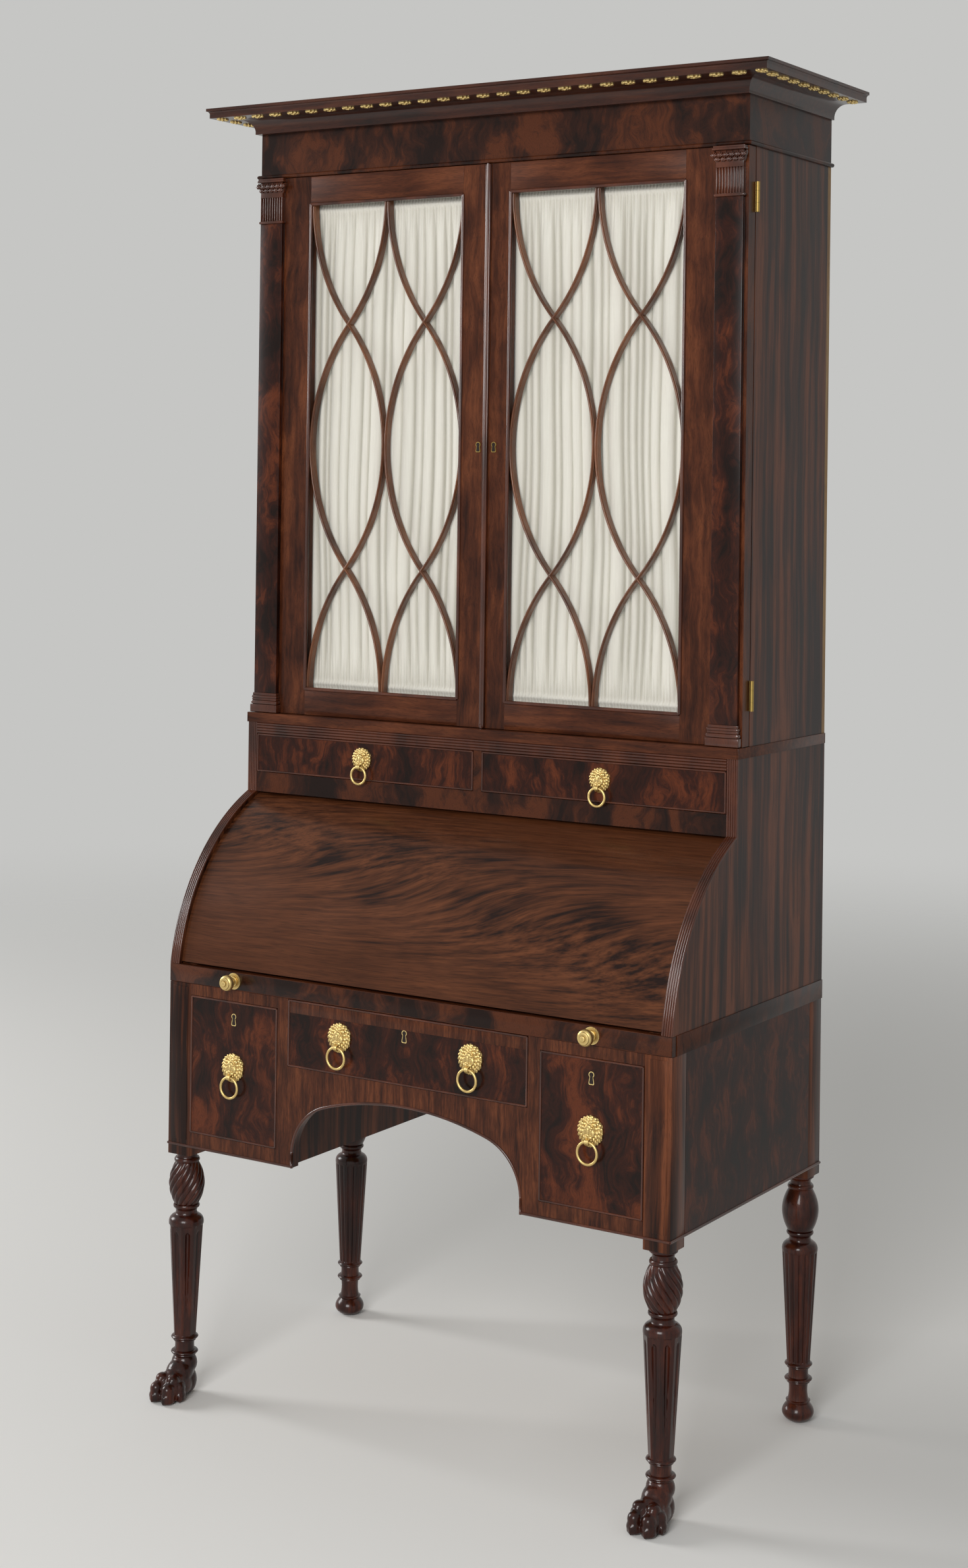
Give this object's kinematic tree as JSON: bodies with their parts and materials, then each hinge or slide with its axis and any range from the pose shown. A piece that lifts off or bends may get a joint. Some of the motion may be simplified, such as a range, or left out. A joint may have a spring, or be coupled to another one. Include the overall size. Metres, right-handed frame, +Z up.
{
  "type": "cylinder desk and bookcase",
  "caption": "Turned-leg writing desk with a curved rolling fall, pull-out writing slide, drawers with lion-mask ring pulls, and a glazed two-door bookcase under a cornice.",
  "frame": {"origin": "on the floor under the middle of the desk's bounding box", "axes": "+Z up, the front faces -Y, +X to the right of someone facing the front"},
  "size_m": [1.139, 0.6075, 2.2923],
  "materials": {
    "mahogany": "polished",
    "flame_mahogany": "polished figured veneer",
    "secondary_wood": "plain",
    "brass": "gilt",
    "glass": "clear",
    "silk": "soft"
  },
  "bodies": {
    "case": {"front_left_leg": "mahogany", "front_right_leg": "mahogany", "rear_left_leg": "mahogany", "rear_right_leg": "mahogany", "base_sides": "mahogany", "base_back": "secondary_wood", "kneehole_walls": "mahogany", "pedestal_bottoms": "secondary_wood", "slide_bed_and_knee_ceiling": "secondary_wood", "arch_apron": "mahogany", "base_front_rails": "mahogany", "desk_sides": "mahogany", "desk_back": "secondary_wood", "upper_drawer_rails": "mahogany", "upper_drawer_boards": "secondary_wood", "pigeonhole_unit": "mahogany", "bookcase_floor": "mahogany", "bookcase_sides": "mahogany", "bookcase_back": "secondary_wood", "bookcase_top_and_shelves": "secondary_wood", "frieze": "flame_mahogany", "cornice": "mahogany", "case_hinge_leaves": "brass"},
    "left_door": {"left_door_frame": "mahogany", "left_pilaster": "mahogany", "left_pane": "glass", "left_glazing_bars": "mahogany", "left_curtain": "silk", "left_door_brass": "brass"},
    "left_pedestal_drawer": {"left_pedestal_drawer_front": "flame_mahogany", "left_pedestal_drawer_box": "secondary_wood", "left_pedestal_mask": "brass"},
    "left_pedestal_ring": {"left_pedestal_ring": "brass"},
    "left_upper_drawer": {"left_upper_drawer_front": "flame_mahogany", "left_upper_drawer_box": "secondary_wood", "left_upper_mask": "brass"},
    "left_upper_ring": {"left_upper_ring": "brass"},
    "centre_left_ring": {"centre_left_ring": "brass"},
    "right_door": {"right_door_frame": "mahogany", "right_pilaster": "mahogany", "right_pane": "glass", "right_glazing_bars": "mahogany", "right_curtain": "silk", "right_door_brass": "brass", "meeting_bead": "mahogany"},
    "right_pedestal_drawer": {"right_pedestal_drawer_front": "flame_mahogany", "right_pedestal_drawer_box": "secondary_wood", "right_pedestal_mask": "brass"},
    "right_pedestal_ring": {"right_pedestal_ring": "brass"},
    "right_upper_drawer": {"right_upper_drawer_front": "flame_mahogany", "right_upper_drawer_box": "secondary_wood", "right_upper_mask": "brass"},
    "right_upper_ring": {"right_upper_ring": "brass"},
    "centre_right_ring": {"centre_right_ring": "brass"},
    "centre_drawer": {"centre_drawer_front": "flame_mahogany", "centre_drawer_box": "secondary_wood", "centre_masks": "brass"},
    "slide": {"writing_slide": "mahogany", "slide_knobs": "brass"},
    "fall": {"cylinder_fall": "flame_mahogany"}
  },
  "joints": [
    {"name": "slide_pull", "type": "slide", "parent": "case", "child": "slide", "axis": [0, -1, 0], "range_m": [0, 0.24]},
    {"name": "fall_roll", "type": "hinge", "parent": "case", "child": "fall", "pos_m": [0, 0.10784, 0.70938], "axis": [-1, 0, 0], "range_deg": [0, 50]},
    {"name": "left_door_hinge", "type": "hinge", "parent": "case", "child": "left_door", "pos_m": [-0.5032, 0.00255, 1.67628], "axis": [0, 0, -1], "range_deg": [0, 150]},
    {"name": "right_door_hinge", "type": "hinge", "parent": "case", "child": "right_door", "pos_m": [0.5032, 0.00255, 1.67628], "axis": [0, 0, 1], "range_deg": [0, 150]},
    {"name": "left_pedestal_pull", "type": "slide", "parent": "case", "child": "left_pedestal_drawer", "axis": [0, -1, 0], "range_m": [0, 0.36]},
    {"name": "right_pedestal_pull", "type": "slide", "parent": "case", "child": "right_pedestal_drawer", "axis": [0, -1, 0], "range_m": [0, 0.36]},
    {"name": "centre_drawer_pull", "type": "slide", "parent": "case", "child": "centre_drawer", "axis": [0, -1, 0], "range_m": [0, 0.36]},
    {"name": "left_upper_pull", "type": "slide", "parent": "case", "child": "left_upper_drawer", "axis": [0, -1, 0], "range_m": [0, 0.22]},
    {"name": "right_upper_pull", "type": "slide", "parent": "case", "child": "right_upper_drawer", "axis": [0, -1, 0], "range_m": [0, 0.22]},
    {"name": "left_pedestal_ring_swing", "type": "hinge", "parent": "left_pedestal_drawer", "child": "left_pedestal_ring", "pos_m": [-0.357, -0.26275, 0.57792], "axis": [-1, 0, 0], "range_deg": [0, 100]},
    {"name": "right_pedestal_ring_swing", "type": "hinge", "parent": "right_pedestal_drawer", "child": "right_pedestal_ring", "pos_m": [0.357, -0.26275, 0.57792], "axis": [-1, 0, 0], "range_deg": [0, 100]},
    {"name": "centre_left_ring_swing", "type": "hinge", "parent": "centre_drawer", "child": "centre_left_ring", "pos_m": [-0.131, -0.26275, 0.65992], "axis": [-1, 0, 0], "range_deg": [0, 100]},
    {"name": "centre_right_ring_swing", "type": "hinge", "parent": "centre_drawer", "child": "centre_right_ring", "pos_m": [0.131, -0.26275, 0.65992], "axis": [-1, 0, 0], "range_deg": [0, 100]},
    {"name": "left_upper_ring_swing", "type": "hinge", "parent": "left_upper_drawer", "child": "left_upper_ring", "pos_m": [-0.244, -0.04875, 1.10327], "axis": [-1, 0, 0], "range_deg": [0, 100]},
    {"name": "right_upper_ring_swing", "type": "hinge", "parent": "right_upper_drawer", "child": "right_upper_ring", "pos_m": [0.244, -0.04875, 1.10327], "axis": [-1, 0, 0], "range_deg": [0, 100]}
  ],
  "couplings": [
    {"joint": "fall_roll", "follows": "slide_pull", "rad_per_m": 3.6361}
  ]
}
